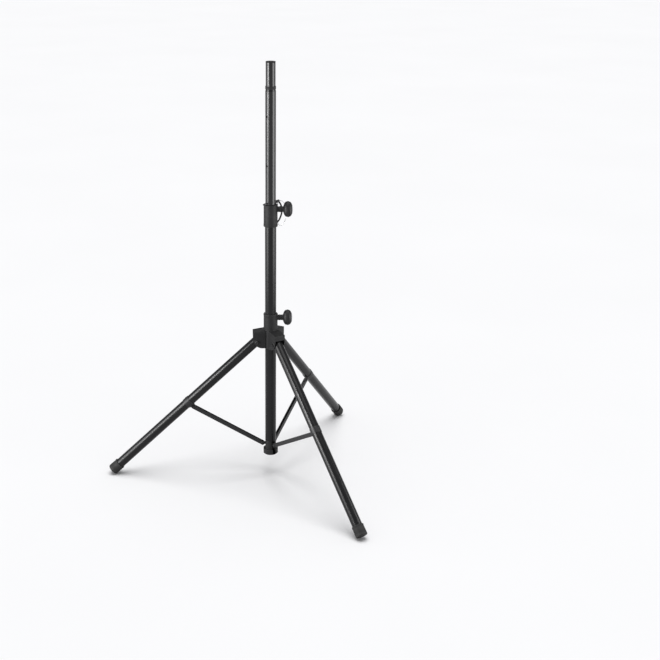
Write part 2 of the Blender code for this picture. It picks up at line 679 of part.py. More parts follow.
def add_safety_pin(stand, column):
    """The pin in its own frame: along X, its head at +X and its tip at -X."""
    frame = stand.empty("safety_pin_axis", column, (0.0, 0.0, PIN_HEIGHT), 0.0, math.radians(PIN_ANGLE))
    lay = Matrix.Rotation(math.radians(90.0), 4, "Y")
    shank = moved(turned([
        (0.0, PIN_HEAD_START + 0.002), (PIN_RADIUS, PIN_HEAD_START + 0.002), (PIN_RADIUS, PIN_TIP + 0.003),
        (PIN_RADIUS / 2.0, PIN_TIP), (0.0, PIN_TIP),
    ], 12), lay)
    head = cylinder(PIN_HEAD_RADIUS, (PIN_HEAD_START, 0.0, 0.0), (PIN_HEAD_END, 0.0, 0.0))
    stand.part("safety_pin", joined(head, shank), "black_steel", frame)

    bail = smooth_route([
        (PIN_HEAD_END + GAP, 0.0, 0.0), (0.056, 0.0, -0.002), (0.070, 0.0, -0.012), (0.080, 0.0, -0.034),
        (0.083, 0.0, -0.062), (0.075, 0.0, -0.083), (0.060, 0.0, -0.094), (0.045, 0.0, -0.091),
        (0.037, 0.0, -0.076), (0.035, 0.0, -0.050), (0.036, 0.0, -0.025),
        (0.038, 0.0, -PIN_HEAD_RADIUS - GAP),
    ], 2)
    stand.part("pin_bail", wire(bail, BAIL_RADIUS), "bright_steel", frame)


def tether_point(angle, radius, height):
    return about_z(angle) @ Vector((radius, 0.0, height))


def add_tether(stand, column):
    """The cord that keeps the pin: from its rivet round the collar, behind the knob's neck, up to the pin."""
    beside_head = -PIN_HEAD_RADIUS - TETHER_RADIUS - GAP
    beside_pin = about_z(PIN_ANGLE) @ Vector((0.035, beside_head, PIN_HEIGHT - 0.001))
    route = smooth_route([
        tether_point(TETHER_EYE_ANGLE, 0.0312, COLLAR_BOTTOM + TETHER_RIVET_RISE),
        tether_point(62.0, 0.0308, COLLAR_BOTTOM + 0.005),
        tether_point(35.0, 0.0292, COLLAR_BOTTOM + 0.004),
        tether_point(10.0, 0.0295, COLLAR_BOTTOM + 0.008),
        tether_point(-10.0, 0.0340, COLLAR_BOTTOM + 0.022),
        tether_point(-19.0, 0.0405, COLLAR_BOTTOM + 0.044),
        tether_point(-12.0, 0.0420, COLLAR_BOTTOM + 0.063),
        tether_point(-10.0, 0.0400, COLLAR_BOTTOM + 0.077),
        beside_pin,
    ], 2)
    stand.part("tether", wire(route, TETHER_RADIUS), "tether_rubber", column)


def build():
    clear_scene()
    stand = Stand()
    column = stand.empty("column_axis", place=(0.0, COLUMN_Y, 0.0))
    add_mast(stand, column)
    add_main_tube(stand, column)
    add_upper_collar(stand, column)
    add_knob(stand, column, "upper_knob", UPPER_KNOB_HEIGHT, MAST_RADIUS)
    add_hub(stand, column)
    add_knob(stand, column, "lower_knob", LOWER_KNOB_HEIGHT, TUBE_RADIUS)
    for leg, angle in LEG_ANGLES.items():
        add_pivot_bolt(stand, column, leg, angle)
        add_leg(stand, column, leg, angle)
    add_bottom_bracket(stand, column)
    add_safety_pin(stand, column)
    add_tether(stand, column)


build()
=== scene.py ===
"""Looks of the speaker tripod stand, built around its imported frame. Metres, +Z up."""
import json
import math

import bmesh
import bpy
from mathutils import Matrix, Vector


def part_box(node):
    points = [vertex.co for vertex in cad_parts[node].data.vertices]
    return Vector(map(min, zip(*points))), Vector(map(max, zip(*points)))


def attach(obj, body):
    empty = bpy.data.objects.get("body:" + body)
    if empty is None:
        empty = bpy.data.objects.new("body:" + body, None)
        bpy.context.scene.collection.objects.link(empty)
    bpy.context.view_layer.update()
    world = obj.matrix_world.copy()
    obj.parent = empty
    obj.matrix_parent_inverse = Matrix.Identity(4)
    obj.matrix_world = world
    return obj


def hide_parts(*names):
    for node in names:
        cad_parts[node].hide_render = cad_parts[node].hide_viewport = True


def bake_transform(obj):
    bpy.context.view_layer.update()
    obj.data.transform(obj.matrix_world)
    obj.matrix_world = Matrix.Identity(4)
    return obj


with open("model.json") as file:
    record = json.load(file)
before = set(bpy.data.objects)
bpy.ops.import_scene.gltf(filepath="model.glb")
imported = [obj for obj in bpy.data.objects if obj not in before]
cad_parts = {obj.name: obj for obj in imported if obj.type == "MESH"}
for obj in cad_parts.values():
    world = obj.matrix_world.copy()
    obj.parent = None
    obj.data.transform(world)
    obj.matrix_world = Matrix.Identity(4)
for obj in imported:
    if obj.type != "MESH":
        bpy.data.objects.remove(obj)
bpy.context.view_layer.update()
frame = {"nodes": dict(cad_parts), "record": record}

RECORD = frame["record"]
JOINTS = {joint["name"]: joint for joint in RECORD["behaviour"]["joints"]}
SEAT = Vector(RECORD["mounts"][0]["pos_m"])
COLUMN = Matrix.Translation((SEAT.x, SEAT.y, 0.0))
LEGS = ("front", "right", "left")
LEG_TILT = math.radians(46.6)

# The same sizes as the frame's.
MAST_RADIUS = 0.01905
SPIGOT_RADIUS = 0.0175
TUBE_RADIUS = 0.02065
COLLAR_RADIUS = 0.0252
SLEEVE_RADIUS = 0.0259
LEG_RADIUS = 0.01825
FOOT_RADIUS = 0.02125
LUG_OFFSET = 0.029
BRACE_HALF_DEPTH = 0.00785
BRACE_HALF_WIDTH = 0.0055
BRACKET_RADIUS = 0.028
CLAMP_RADIUS = 0.0197
GRIP = (0.045, 0.080)
GRIP_HALF_LENGTH = 0.029
GRIP_HALF_HEIGHT = 0.021
GRIP_TILT = math.radians(75.0)
PIN_ANGLE = math.radians(15.0)
HEIGHT_HOLES = (1.205, 1.382)
HEIGHT_HOLE_RADIUS = 0.0037
MAST_BORE = 0.01745
SPIGOT_BORE = 0.0159
TUBE_BORE = 0.01945
LEG_BORE = 0.01675
LEG_LENGTH = 0.7645
SCREW_HOLE_RADIUS = 0.0053
BOLT_HOLE_RADIUS = 0.0043
HUB_BORE = 0.0229
CHANNEL_HALF_WIDTH = 0.0189


# ---------------------------------------------------------------- shapes

def obj_from(mesh, name="shape"):
    obj = bpy.data.objects.new(name, mesh)
    bpy.context.scene.collection.objects.link(obj)
    return obj


def applied(obj):
    """The object's mesh with its modifiers applied; the object is removed."""
    bpy.context.view_layer.update()
    depsgraph = bpy.context.evaluated_depsgraph_get()
    mesh = bpy.data.meshes.new_from_object(obj.evaluated_get(depsgraph))
    bpy.data.objects.remove(obj, do_unlink=True)
    return mesh


def mesh_from(bm):
    bmesh.ops.remove_doubles(bm, verts=bm.verts, dist=1e-7)
    bmesh.ops.recalc_face_normals(bm, faces=bm.faces)
    mesh = bpy.data.meshes.new("shape")
    bm.to_mesh(mesh)
    bm.free()
    return mesh


def moved(mesh, matrix):
    mesh.transform(matrix)
    return mesh


def shift(x, y, z):
    return Matrix.Translation((x, y, z))


def turn(axis, angle):
    return Matrix.Rotation(angle, 4, axis)


def fillet(points, radius, closed=True, steps=4):
    """The outline with every corner rounded, as far as its sides are long enough."""
    rounded = []
    last = len(points) - 1
    for index, point in enumerate(points):
        corner = Vector(point)
        back = Vector(points[index - 1]) - corner
        ahead = Vector(points[(index + 1) % len(points)]) - corner
        at_end = not closed and index in (0, last)
        flat = radius == 0.0 or at_end or back.length < 1e-7 or ahead.length < 1e-7
        if flat or back.angle(ahead) > math.pi - 0.02:
            rounded.append(tuple(corner))
            continue
        reach = radius / math.tan(back.angle(ahead) / 2.0)
        reach = min(reach, 0.45 * back.length, 0.45 * ahead.length)
        start = corner + back.normalized() * reach
        end = corner + ahead.normalized() * reach
        for step in range(steps + 1):
            t = step / steps
            rounded.append(tuple(start * (1 - t) ** 2 + corner * 2 * t * (1 - t) + end * t * t))
    return rounded


def lathe(profile, segments=96, across=None):
    """Turns (radius, height) points about Z.

    Where the piece isn't round, across maps (angle, radius) to (x, y).
    """
    across = across or (lambda angle, radius: (radius * math.cos(angle), radius * math.sin(angle)))
    bm = bmesh.new()
    rings = []
    for radius, height in profile:
        count = segments if radius > 1e-7 else 1
        angles = [2.0 * math.pi * index / segments for index in range(count)]
        rings.append([bm.verts.new((*across(angle, radius), height)) for angle in angles])
    pairs = list(zip(rings, rings[1:]))
    if len(rings[0]) > 1 and len(rings[-1]) > 1:
        pairs.append((rings[-1], rings[0]))
    for upper, lower in pairs:
        for index in range(segments):
            after = (index + 1) % segments
            corners = [
                upper[index % len(upper)], lower[index % len(lower)],
                lower[after % len(lower)], upper[after % len(upper)],
            ]
            corners = list(dict.fromkeys(corners))
            if len(corners) > 2:
                bm.faces.new(corners)
    return mesh_from(bm)


def tube(outer, bore, bottom, top, rounding=0.0004, segments=96):
    return lathe(fillet([(outer, top), (outer, bottom), (bore, bottom), (bore, top)], rounding), segments)


def rod(radius, bottom, top, rounding=0.0004, segments=48):
    outline = [(0.0, top), (radius, top), (radius, bottom), (0.0, bottom)]
    return lathe(fillet(outline, rounding, False), segments)


def along_x(mesh):
    return moved(mesh, turn("Y", math.pi / 2.0))


def along_y(mesh):
    return moved(mesh, turn("X", -math.pi / 2.0))


def box(low, high):
    low = Vector(low)
    high = Vector(high)
    bm = bmesh.new()
    size = Matrix.Diagonal((*(high - low), 1.0))
    bmesh.ops.create_cube(bm, size=1.0, matrix=Matrix.Translation((low + high) / 2.0) @ size)
    return mesh_from(bm)


def plate(outline, half_thickness):
    """A flat plate in the XZ plane from (x, z) points."""
    bm = bmesh.new()
    low = [bm.verts.new((x, -half_thickness, z)) for x, z in outline]
    high = [bm.verts.new((x, half_thickness, z)) for x, z in outline]
    bm.faces.new(low)
    bm.faces.new(list(reversed(high)))
    for index in range(len(outline)):
        after = (index + 1) % len(outline)
        bm.faces.new((low[index], high[index], high[after], low[after]))
    return mesh_from(bm)


def arc(centre, radius, start, end, steps=16):
    angles = [math.radians(start + (end - start) * step / steps) for step in range(steps + 1)]
    return [(centre[0] + radius * math.cos(a), centre[1] + radius * math.sin(a)) for a in angles]


def boolean(mesh, tools, operation):
    obj = obj_from(mesh)
    cutters = [obj_from(tool) for tool in tools]
    for cutter in cutters:
        modifier = obj.modifiers.new("boolean", "BOOLEAN")
        modifier.operation = operation
        modifier.solver = "EXACT"
        modifier.object = cutter
    result = applied(obj)
    for cutter in cutters:
        bpy.data.objects.remove(cutter, do_unlink=True)
    return result


def cut(mesh, *tools):
    return boolean(mesh, tools, "DIFFERENCE")


def joined(mesh, *others):
    return boolean(mesh, others, "UNION")


def together(*meshes):
    """One mesh that holds several separate ones."""
    bm = bmesh.new()
    for mesh in meshes:
        bm.from_mesh(mesh)
    mesh = bpy.data.meshes.new("shape")
    bm.to_mesh(mesh)
    bm.free()
    return mesh


def moulded(mesh, voxel, passes):
    """Rounds every edge the way a moulded or cast piece has it."""
    obj = obj_from(mesh)
    remesh = obj.modifiers.new("remesh", "REMESH")
    remesh.mode = "VOXEL"
    remesh.voxel_size = voxel
    smooth = obj.modifiers.new("smooth", "SMOOTH")
    smooth.factor = 0.5
    smooth.iterations = passes
    return applied(obj)


def bevelled(mesh, width, segments=3, angle=35.0):
    obj = obj_from(mesh)
    bevel = obj.modifiers.new("bevel", "BEVEL")
    bevel.width = width
    bevel.segments = segments
    bevel.limit_method = "ANGLE"
    bevel.angle_limit = math.radians(angle)
    return applied(obj)


def smooth_route(points, steps):
    """A Catmull-Rom curve through the points."""
    places = [Vector(point) for point in points]
    places = [2 * places[0] - places[1]] + places + [2 * places[-1] - places[-2]]
    route = []
    for index in range(1, len(places) - 2):
        before, start, end, after = places[index - 1:index + 3]
        for step in range(steps):
            t = step / steps
            route.append(0.5 * (
                2 * start + (end - before) * t + (2 * before - 5 * start + 4 * end - after) * t * t
                + (3 * start - before - 3 * end + after) * t * t * t
            ))
    return route + [places[-2]]


def wire(points, radius, resolution=6):
    curve = bpy.data.curves.new("route", "CURVE")
    curve.dimensions = "3D"
    curve.bevel_depth = radius
    curve.bevel_resolution = resolution
    curve.use_fill_caps = True
    spline = curve.splines.new("POLY")
    spline.points.add(len(points) - 1)
    for point, place in zip(spline.points, points):
        point.co = (*place, 1.0)
    bm = bmesh.new()
    bm.from_mesh(applied(obj_from(curve)))
    return mesh_from(bm)


def oval(half_length, half_height, power=2.4):
    """A superellipse for lathe(), whose radius runs from 0 to 1."""
    def across(angle, scale):
        x = math.cos(angle)
        y = math.sin(angle)
        size = (abs(x) ** power + abs(y) ** power) ** (-1.0 / power)
        return half_length * scale * size * x, half_height * scale * size * y
    return across


# ---------------------------------------------------------------- materials

class Nodes:
    """A material's node tree, with short calls for what the surfaces here need."""

    def __init__(self, name):
        self.material = bpy.data.materials.new(name)
        self.material.use_nodes = True
        self.tree = self.material.node_tree
        self.shader = self.tree.nodes["Principled BSDF"]
        self.place = self.tree.nodes.new("ShaderNodeTexCoord").outputs["Object"]

    def link(self, source, target):
        self.tree.links.new(source, target)

    def noise(self, scale, detail=3.0, roughness=0.5, stretch=None):
        node = self.tree.nodes.new("ShaderNodeTexNoise")
        node.inputs["Scale"].default_value = scale
        node.inputs["Detail"].default_value = detail
        node.inputs["Roughness"].default_value = roughness
        place = self.place
        if stretch:
            mapping = self.tree.nodes.new("ShaderNodeMapping")
            mapping.inputs["Scale"].default_value = stretch
            self.link(self.place, mapping.inputs["Vector"])
            place = mapping.outputs["Vector"]
        self.link(place, node.inputs["Vector"])
        return node.outputs["Fac"]

    def spread(self, value, low, high, start=0.3, end=0.7):
        node = self.tree.nodes.new("ShaderNodeMapRange")
        node.inputs["From Min"].default_value = start
        node.inputs["From Max"].default_value = end
        node.inputs["To Min"].default_value = low
        node.inputs["To Max"].default_value = high
        self.link(value, node.inputs["Value"])
        return node.outputs["Result"]

    def blend(self, value, first, second):
        node = self.tree.nodes.new("ShaderNodeMix")
        node.data_type = "RGBA"
        node.inputs["A"].default_value = (*first, 1.0)
        node.inputs["B"].default_value = (*second, 1.0)
        self.link(value, node.inputs["Factor"])
        return node.outputs["Result"]

    def bump(self, *layers):
        """Bumps one on another; each layer is a height and how far it stands out."""
        normal = None
        for height, distance in layers:
            node = self.tree.nodes.new("ShaderNodeBump")
            node.inputs["Strength"].default_value = 1.0
            node.inputs["Distance"].default_value = distance
            self.link(height, node.inputs["Height"])
            if normal:
                self.link(normal, node.inputs["Normal"])
            normal = node.outputs["Normal"]
        self.link(normal, self.shader.inputs["Normal"])


def surface(name, dark, light, roughness, specular, cloud, bumps):
    """A surface whose colour and roughness vary softly, with one or more fine bumps."""
    nodes = Nodes(name)
    clouds = nodes.spread(nodes.noise(cloud, 4.0, 0.6), 0.0, 1.0)
    nodes.link(nodes.blend(clouds, dark, light), nodes.shader.inputs["Base Color"])
    nodes.link(
        nodes.spread(nodes.noise(cloud * 2.7, 5.0, 0.65), roughness[0], roughness[1]),
        nodes.shader.inputs["Roughness"],
    )
    nodes.shader.inputs["Specular IOR Level"].default_value = specular
    nodes.bump(*[(nodes.noise(scale, 2.0, 0.5), distance) for scale, distance in bumps])
    return nodes.material


def turned_metal(name, dark, light, roughness):
    """Plated steel with fine lines round its axis."""
    nodes = Nodes(name)
    lines = nodes.noise(240.0, 2.0, 0.5, (1.0, 1.0, 9.0))
    nodes.link(nodes.blend(nodes.spread(lines, 0.0, 1.0), dark, light), nodes.shader.inputs["Base Color"])
    nodes.link(nodes.spread(nodes.noise(60.0), roughness[0], roughness[1]), nodes.shader.inputs["Roughness"])
    nodes.shader.inputs["Metallic"].default_value = 1.0
    nodes.bump((lines, 0.00001))
    return nodes.material


def grey(value, tint=0.0):
    return (value, value, value * (1.0 + tint))


MATERIALS = {
    "mast_paint": surface(
        "mast enamel", grey(0.003, 0.1), grey(0.005, 0.1), (0.20, 0.24), 0.36, cloud=6.0,
        bumps=((700.0, 0.0000015),),
    ),
    "tube_paint": surface(
        "tube powder coat", grey(0.003, 0.1), grey(0.005, 0.1), (0.26, 0.28), 0.22, cloud=9.0,
        bumps=((900.0, 0.000005), (2600.0, 0.0000015)),
    ),
    "black_plastic": surface(
        "moulded nylon", grey(0.006, 0.05), grey(0.010, 0.05), (0.50, 0.62), 0.20, cloud=30.0,
        bumps=((1500.0, 0.00003), (300.0, 0.00003)),
    ),
    "knob_plastic": surface(
        "knob grip", grey(0.006, 0.05), grey(0.010, 0.05), (0.42, 0.55), 0.24, cloud=60.0,
        bumps=((2100.0, 0.00003),),
    ),
    "black_rubber": surface(
        "foot rubber", grey(0.008), grey(0.014), (0.62, 0.78), 0.25, cloud=40.0,
        bumps=((1200.0, 0.00004), (160.0, 0.00005)),
    ),
    "black_steel": surface(
        "coated steel", grey(0.005, 0.1), grey(0.009, 0.1), (0.36, 0.46), 0.28, cloud=35.0,
        bumps=((900.0, 0.00002),),
    ),
    "bright_steel": turned_metal("zinc plate", grey(0.36, 0.03), grey(0.50, 0.03), (0.22, 0.34)),
    "dark_steel": turned_metal("blackened steel", grey(0.055, 0.03), grey(0.085, 0.03), (0.26, 0.38)),
    "nylon": surface(
        "nylon", grey(0.10), grey(0.14), (0.42, 0.55), 0.45, cloud=50.0, bumps=((900.0, 0.00003),),
    ),
    "tether_rubber": surface(
        "tether sheath", grey(0.006), grey(0.010), (0.42, 0.55), 0.30, cloud=80.0, bumps=((1800.0, 0.00002),),
    ),
    # painted highlight: a light grey colour for the oval on each knob's dome, in place of its reflection
    "painted_highlight": surface(
        "painted_highlight", grey(0.26, 0.04), grey(0.34, 0.04), (0.30, 0.42), 0.5, cloud=90.0,
        bumps=((1500.0, 0.00002),),
    ),
}

STAND = bpy.data.collections.new("stand")
bpy.context.scene.collection.children.link(STAND)


def piece(name, mesh, body, look, replaces=(), sharp=32.0):
    """A visible piece that rides on a body, when one is given, and stands for the named frame nodes."""
    mesh.name = name
    mesh.materials.clear()
    mesh.materials.append(MATERIALS[look])
    mesh.shade_smooth()
    mesh.set_sharp_from_angle(angle=math.radians(sharp))
    obj = obj_from(mesh, name)
    STAND.objects.link(obj)
    if body:
        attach(obj, body)
    if replaces:
        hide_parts(*replaces)
    return obj


# ---------------------------------------------------------------- places

def joint_place(name):
    return Vector(JOINTS[name]["pos_m"])


def angle_of(place):
    """The direction of a point round the column."""
    offset = place - SEAT
    return math.atan2(offset.y, offset.x)


KNOB_AXIS = Vector(JOINTS["upper_knob_turn"]["axis"])
KNOB_ANGLE = math.atan2(KNOB_AXIS.y, KNOB_AXIS.x)
PIVOTS = {leg: joint_place(leg + "_leg_fold") for leg in LEGS}
LEG_ANGLES = {leg: angle_of(PIVOTS[leg]) for leg in LEGS}
PIVOT_HEIGHT = PIVOTS["front"].z
PIVOT_RADIUS = math.hypot(PIVOTS["front"].x - SEAT.x, PIVOTS["front"].y - SEAT.y)
LEG_FRAMES = {
    leg: Matrix.Translation(PIVOTS[leg]) @ turn("Z", LEG_ANGLES[leg]) @ turn("Y", -LEG_TILT) for leg in LEGS
}
BRACE_JOINT = LEG_FRAMES["front"].inverted() @ joint_place("front_brace_fold")
CLAMP_DISTANCE = -BRACE_JOINT.z
PIN_LOW, PIN_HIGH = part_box("front_bracket_pin")
BRACE_PIN = (Vector(PIN_LOW) + Vector(PIN_HIGH)) / 2.0
BRACE_PIN_RADIUS = math.hypot(BRACE_PIN.x - SEAT.x, BRACE_PIN.y - SEAT.y)
BRACE_REACH = LEG_FRAMES["front"].inverted() @ BRACE_PIN - BRACE_JOINT
BRACE_LENGTH = BRACE_REACH.length
BRACE_TURN = math.atan2(-BRACE_REACH.x, -BRACE_REACH.z)
KNOB_HEIGHTS = {name: joint_place(name + "_turn").z for name in ("upper_knob", "lower_knob")}
PIN_HEIGHT = sum(corner[2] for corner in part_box("safety_pin")) / 2.0


def span(node):
    """A node's lowest and highest point."""
    low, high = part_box(node)
    return low[2], high[2]


# ---------------------------------------------------------------- column

def knob_side(mesh, height=0.0):
    return moved(mesh, COLUMN @ turn("Z", KNOB_ANGLE) @ shift(0.0, 0.0, height))


def make_mast():
    bottom, top = span("mast_tube")
    shoulder = span("spigot_ring")[0] - 0.008
    outer = [
        (0.0, top), (SPIGOT_RADIUS - 0.0003, top), (SPIGOT_RADIUS, top - 0.0005),
        (SPIGOT_RADIUS, shoulder + 0.007), (MAST_RADIUS, shoulder + 0.001), (MAST_RADIUS, bottom), (0.0, bottom),
    ]
    bore = [
        (0.0, top + 0.01), (SPIGOT_BORE, top + 0.01), (SPIGOT_BORE, shoulder), (MAST_BORE, shoulder - 0.006),
        (MAST_BORE, bottom - 0.01), (0.0, bottom - 0.01),
    ]
    holes = []
    for height in (PIN_HEIGHT, *HEIGHT_HOLES):
        drill = along_x(rod(HEIGHT_HOLE_RADIUS, -0.03, 0.03, 0.0, 32))
        holes.append(moved(drill, turn("Z", PIN_ANGLE) @ shift(0.0, 0.0, height)))
    mesh = cut(lathe(fillet(outer, 0.0025, False, 6)), *holes, lathe(bore))
    mesh = moved(mesh, COLUMN)
    piece("mast", mesh, "mast", "mast_paint", ["mast_tube"])

    bottom, top = span("spigot_ring")
    inner = SPIGOT_RADIUS + 0.0003
    band = lathe(fillet([(0.0189, top), (0.0189, bottom), (inner, bottom), (inner, top)], 0.0007))
    piece("spigot_band", moved(band, COLUMN), "mast", "black_plastic", ["spigot_ring"])

    bottom, top = span("mast_top_cap")
    rim = top - 0.0027
    outline = [
        (0.0, top - 0.0006), (0.0105, top - 0.0006), (0.0112, top), (SPIGOT_RADIUS, top),
        (SPIGOT_RADIUS, rim), (0.0156, rim), (0.0156, bottom), (0.0136, bottom), (0.0136, rim), (0.0, rim),
    ]
    cap = moved(lathe(fillet(outline, 0.0006, False)), COLUMN)
    piece("top_cap", cap, "mast", "black_plastic", ["mast_top_cap"])


def screw_drill(height):
    return knob_side(along_x(rod(SCREW_HOLE_RADIUS, 0.0, 0.045, 0.0, 48)), height)


def boss(inner, height):
    """The round boss for a clamp screw, with a rim at its end."""
    profile = fillet([
        (0.0, 0.037), (0.0110, 0.037), (0.0110, 0.0335), (0.0103, 0.0325), (0.0103, inner), (0.0, inner),
    ], 0.0008, False)
    return knob_side(along_x(lathe(profile, 64)), height)


def make_column():
    bottom, top = span("main_tube")
    mesh = moved(tube(TUBE_RADIUS, TUBE_BORE, bottom, top), COLUMN)
    mesh = cut(mesh, screw_drill(KNOB_HEIGHTS["upper_knob"]))
    piece("lower_column", mesh, "column", "tube_paint", ["main_tube"])

    bottom, top = span("upper_collar")
    bore = TUBE_RADIUS + 0.0003
    ledge = span("main_tube")[1] + 0.0003
    outline = [
        (COLLAR_RADIUS - 0.0012, top), (COLLAR_RADIUS, top - 0.0025), (COLLAR_RADIUS, bottom + 0.010),
        (COLLAR_RADIUS + 0.0006, bottom + 0.009), (COLLAR_RADIUS + 0.0006, bottom), (bore, bottom),
        (bore, ledge), (MAST_RADIUS + 0.0003, ledge), (MAST_RADIUS + 0.0003, top),
    ]
    sleeve = moved(lathe(fillet(outline, 0.0008)), COLUMN)
    collar = joined(sleeve, boss(bore + 0.001, KNOB_HEIGHTS["upper_knob"]))
    collar = cut(collar, screw_drill(KNOB_HEIGHTS["upper_knob"]))
    piece("collar", collar, "column", "black_plastic", ["upper_collar"])


# ---------------------------------------------------------------- knobs

def grip_face(share, side=1.0):
    """How far out the rounded grip reaches, at a share of its half width; side is -1 for its inner face."""
    half = (GRIP[1] - GRIP[0]) / 2.0
    return (GRIP[0] + GRIP[1]) / 2.0 + side * half * (1.0 - share ** 2.2) ** 0.44


def grip_oval(outline):
    """A solid across the knob's axis, from (share of the half width, distance from the column) points."""
    mesh = lathe(outline, 96, oval(GRIP_HALF_LENGTH, GRIP_HALF_HEIGHT, 2.15))
    return moved(mesh, turn("X", GRIP_TILT) @ turn("Z", math.pi / 2.0) @ turn("X", math.pi / 2.0))


def grip_mesh():
    """The oval grip: a domed outer face, with a parting groove round its edge."""
    dome = [(step * 0.945 / 14.0, grip_face(step * 0.945 / 14.0)) for step in range(15)]
    edge = dome[-1][1]
    groove = [(0.925, edge - 0.0006), (0.925, edge - 0.0014), (0.975, edge - 0.0020)]
    back = [(step / 14.0, grip_face(step / 14.0, -1.0)) for step in range(14, -1, -1)]
    return grip_oval(dome + groove + back)


def painted_highlight_mesh():
    """A plain light grey oval that follows the grip's dome: a painted highlight, standing in for the dome's
    reflection of the light.
    """
    top = [(step * 0.06, grip_face(step * 0.06) + 0.0005) for step in range(10)]
    return grip_oval(top + [(0.55, grip_face(0.55) - 0.0006), (0.0, grip_face(0.55) - 0.0006)])


def neck_mesh():
    """A ribbed neck between the boss and the grip."""
    profile = fillet([
        (0.0, 0.052), (0.0125, 0.052), (0.0125, 0.0462), (0.0098, 0.0446), (0.0098, 0.0373), (0.0, 0.0373),
    ], 0.0005, False)
    collar = along_x(lathe(profile, 64))
    ribs = []
    for index in range(12):
        rib = box((0.0385, -0.0008, 0.0090), (0.0450, 0.0008, 0.0104))
        ribs.append(moved(rib, turn("X", index * math.pi / 6.0)))
    return joined(collar, *ribs)


def make_knob(name, body):
    place = COLUMN @ turn("Z", KNOB_ANGLE) @ shift(0.0, 0.0, KNOB_HEIGHTS[name])
    grip = joined(grip_mesh(), neck_mesh())
    grip = cut(grip, along_x(rod(SCREW_HOLE_RADIUS, 0.030, 0.0625, 0.0, 32)))
    piece(name + "_grip", moved(grip, place), body, "knob_plastic", [name])

    # painted highlight: a light oval laid on the knob's dome where its highlight falls
    piece(name + "_badge", moved(painted_highlight_mesh(), place), body, "painted_highlight", ())


# ---------------------------------------------------------------- hub

def housing(angle):
    """One leg's housing: a rounded block with a raised ring round each end of the pivot bolt."""
    bottom = span("hub")[0] + 0.002
    outline = [
        (0.018, bottom), *arc((0.030, 0.551), 0.036, -90.0, 0.0), (0.067, 0.577), (0.0259, 0.5845),
        (0.018, 0.5845),
    ]
    shell = plate(outline, 0.0215)
    pivot = shift(PIVOT_RADIUS, 0.0, PIVOT_HEIGHT)
    raised = [
        moved(along_y(rod(0.0098, 0.0205, 0.0228, 0.0005)), pivot @ turn("Z", side)) for side in (0.0, math.pi)
    ]
    return moved(joined(shell, *raised), COLUMN @ turn("Z", angle))


def channel(angle):
    """The space in a housing where the leg's top turns, with the hole for its pivot bolt."""
    wide = CHANNEL_HALF_WIDTH
    inside = box((0.0275, -wide, 0.500), (0.064, wide, 0.571))
    mouth = box((0.062, -wide, 0.500), (0.080, wide, 0.557))
    drill = along_y(rod(BOLT_HOLE_RADIUS, -0.03, 0.03, 0.0, 32))
    drill = moved(drill, shift(PIVOT_RADIUS, 0.0, PIVOT_HEIGHT))
    return moved(joined(inside, mouth, drill), COLUMN @ turn("Z", angle))


def make_hub():
    bottom, top = span("hub")
    sleeve = lathe(fillet([
        (0.0, top), (SLEEVE_RADIUS - 0.0008, top), (SLEEVE_RADIUS + 0.0006, top - 0.002),
        (SLEEVE_RADIUS + 0.0006, top - 0.007), (SLEEVE_RADIUS, top - 0.008), (SLEEVE_RADIUS, bottom),
        (0.0, bottom),
    ], 0.0006, False))
    hub = joined(
        moved(sleeve, COLUMN), *[housing(angle) for angle in LEG_ANGLES.values()],
        boss(0.0240, KNOB_HEIGHTS["lower_knob"]),
    )
    bore = moved(rod(HUB_BORE, 0.48, 0.68, 0.0, 96), COLUMN)
    channels = [channel(angle) for angle in LEG_ANGLES.values()]
    hub = cut(hub, *channels, screw_drill(KNOB_HEIGHTS["lower_knob"]), bore)
    piece("hub_casting", moulded(hub, 0.0009, 5), "hub", "black_plastic", ["hub"], sharp=60.0)

    for leg in LEGS:
        place = Matrix.Translation(PIVOTS[leg]) @ turn("Z", LEG_ANGLES[leg])
        wall = 0.0228
        shank = rod(0.004, -0.0285, wall, 0.0004)
        head = lathe(fillet([
            (0.0, wall + 0.0020), (0.0022, wall + 0.0020), (0.0026, wall + 0.0046), (0.0040, wall + 0.0046),
            (0.0065, wall + 0.0022), (0.0065, wall + 0.0002), (0.0, wall + 0.0002),
        ], 0.0006, False), 48)
        bolt = along_y(together(shank, head))
        piece(leg + "_bolt", moved(bolt, place), "hub", "black_steel", [leg + "_pivot_bolt"])
        hexagon = lathe(fillet([
            (0.0058, -wall - 0.0002), (0.0065, -wall - 0.0010), (0.0065, -wall - 0.0046),
            (0.0054, -wall - 0.0056), (0.0043, -wall - 0.0056), (0.0043, -wall - 0.0002),
        ], 0.0002), 6)
        nut = along_y(hexagon)
        piece(leg + "_nut", moved(nut, place), "hub", "black_steel", [leg + "_pivot_nut"], sharp=20.0)


# ---------------------------------------------------------------- legs

